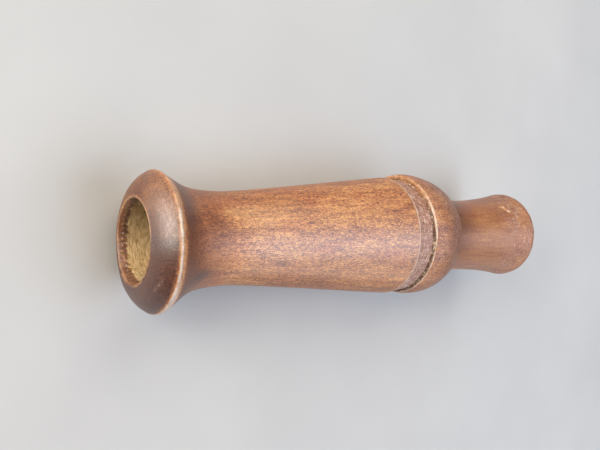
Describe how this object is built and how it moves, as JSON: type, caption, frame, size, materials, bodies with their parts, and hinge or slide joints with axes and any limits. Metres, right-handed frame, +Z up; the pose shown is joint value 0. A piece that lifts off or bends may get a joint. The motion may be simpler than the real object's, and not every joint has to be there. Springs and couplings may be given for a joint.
{
  "type": "wooden game call",
  "caption": "Turned wooden mouth-blown game call: flared barrel with a lanyard groove, pull-out insert with a toneboard, thin reed and cork wedge.",
  "frame": {"origin": "bottom centre of the bounding box: the call lies on its side, resting on its lip and its shoulder", "axes": "+X from the mouth end to the exhaust end, +Z up; the turning axis climbs 0.783 degrees towards +X because the shoulder is fatter than the lip, and the reed lies face up"},
  "size_m": [0.1298, 0.0342, 0.0341],
  "materials": {
    "barrel_wood": "semi-gloss stained hardwood, worn pale at the edges",
    "insert_wood": "smooth semi-gloss stained hardwood, redder than the barrel",
    "reed_sheet": "thin slightly cloudy plastic sheet",
    "wedge_cork": "natural cork"
  },
  "bodies": {
    "barrel": {"barrel": "barrel_wood"},
    "insert": {"insert": "insert_wood"},
    "reed": {"reed": "reed_sheet"},
    "wedge": {"wedge": "wedge_cork"}
  },
  "joints": [
    {"name": "insert_slide", "type": "slide", "parent": "barrel", "child": "insert", "axis": [0.9999, 0, 0.0137], "range_m": [0, 0.068]},
    {"name": "reed_flex", "type": "hinge", "parent": "insert", "child": "reed", "pos_m": [0.00524, 0, 0.01797], "axis": [0, 1, 0], "range_deg": [-1.4, 1], "stiffness_Nm_per_rad": 0.02},
    {"name": "wedge_slide", "type": "slide", "parent": "insert", "child": "wedge", "axis": [-0.9999, 0, -0.0137], "range_m": [0, 0.01]}
  ]
}
